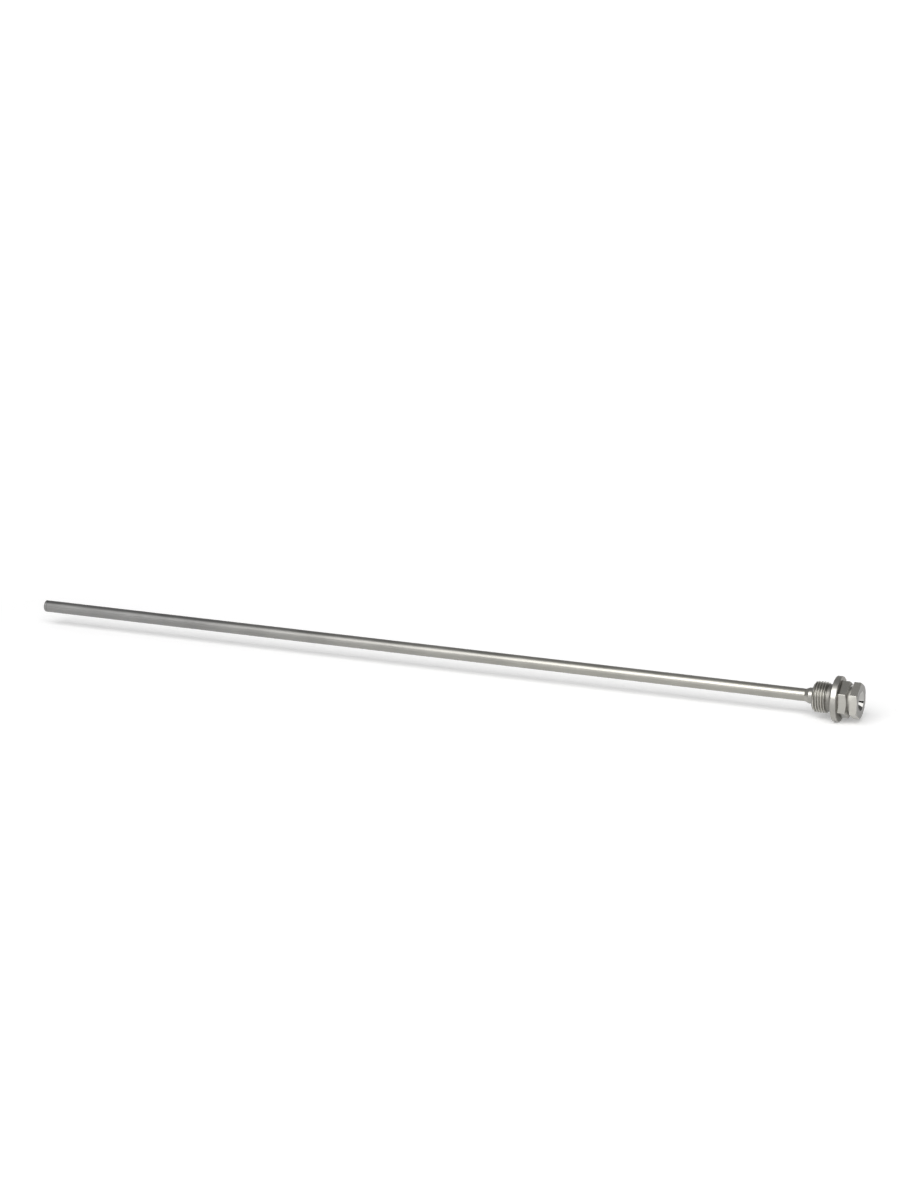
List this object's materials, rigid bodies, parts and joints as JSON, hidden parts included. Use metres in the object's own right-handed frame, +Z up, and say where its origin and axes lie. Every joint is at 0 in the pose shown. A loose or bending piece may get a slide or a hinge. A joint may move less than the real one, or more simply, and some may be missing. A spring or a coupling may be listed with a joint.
{
  "type": "thermowell",
  "caption": "Long slim stainless thermowell: a closed probe tube welded under a threaded head with sealing collar, wrench hexagon and clip groove.",
  "frame": {"origin": "on the axis, in the plane of the collar's sealing face, which is inside the span of the probe's bore", "axes": "+X along the axis and out of the mouth, the closed tip towards -X, +Z up through a corner of both hexagons, flats facing +Y and -Y; lying on its side"},
  "size_m": [0.6171, 0.0304, 0.0304],
  "materials": {
    "turned_steel": "turned and milled stainless steel with fine tool marks",
    "drawn_steel": "cold drawn stainless tube, ground along its length, satin",
    "weld_steel": "weld bead, brushed, slightly darker"
  },
  "bodies": {
    "root": {"head": "turned_steel", "stem_tube": "drawn_steel", "tip_cap": "drawn_steel", "neck_weld": "weld_steel"}
  },
  "joints": []
}
